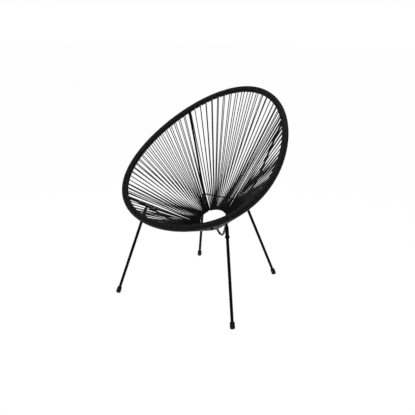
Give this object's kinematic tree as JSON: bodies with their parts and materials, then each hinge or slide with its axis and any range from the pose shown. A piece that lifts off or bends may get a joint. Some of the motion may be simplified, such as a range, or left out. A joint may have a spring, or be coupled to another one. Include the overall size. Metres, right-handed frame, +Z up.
{
  "type": "lounge chair",
  "caption": "Low lounge chair: a bucket seat of black cord strung from an egg-shaped steel hoop to a small ring, on four slanting bolted legs with caps.",
  "frame": {"origin": "on the floor, below the middle of the chair's box in plan", "axes": "+Z up, -Y the way the sitter faces, +X the sitter's left"},
  "size_m": [0.7288, 0.7687, 0.9023],
  "materials": {
    "coated_steel": "satin",
    "seat_cord": "satin",
    "black_fastener": "semi-gloss",
    "cap_plastic": "matte"
  },
  "bodies": {
    "root": {"hoop_tube": "coated_steel", "centre_ring": "coated_steel", "back_cross_rod": "coated_steel", "front_left_rib": "coated_steel", "front_left_leg_socket": "coated_steel", "front_left_leg": "coated_steel", "front_left_leg_bolt": "black_fastener", "front_left_leg_nut": "black_fastener", "front_left_foot_cap": "cap_plastic", "front_right_rib": "coated_steel", "front_right_leg_socket": "coated_steel", "front_right_leg": "coated_steel", "front_right_leg_bolt": "black_fastener", "front_right_leg_nut": "black_fastener", "front_right_foot_cap": "cap_plastic", "back_left_rib": "coated_steel", "back_left_leg_socket": "coated_steel", "back_left_leg": "coated_steel", "back_left_leg_bolt": "black_fastener", "back_left_leg_nut": "black_fastener", "back_left_foot_cap": "cap_plastic", "back_right_rib": "coated_steel", "back_right_leg_socket": "coated_steel", "back_right_leg": "coated_steel", "back_right_leg_bolt": "black_fastener", "back_right_leg_nut": "black_fastener", "back_right_foot_cap": "cap_plastic", "back_cord_1": "seat_cord", "back_cord_2": "seat_cord", "back_cord_3": "seat_cord", "back_cord_4": "seat_cord", "left_cord_1": "seat_cord", "left_cord_2": "seat_cord", "left_cord_3": "seat_cord", "left_cord_4": "seat_cord", "front_cord_1": "seat_cord", "front_cord_2": "seat_cord", "front_cord_3": "seat_cord", "front_cord_4": "seat_cord", "right_cord_1": "seat_cord", "right_cord_2": "seat_cord", "right_cord_3": "seat_cord", "right_cord_4": "seat_cord"}
  },
  "joints": []
}
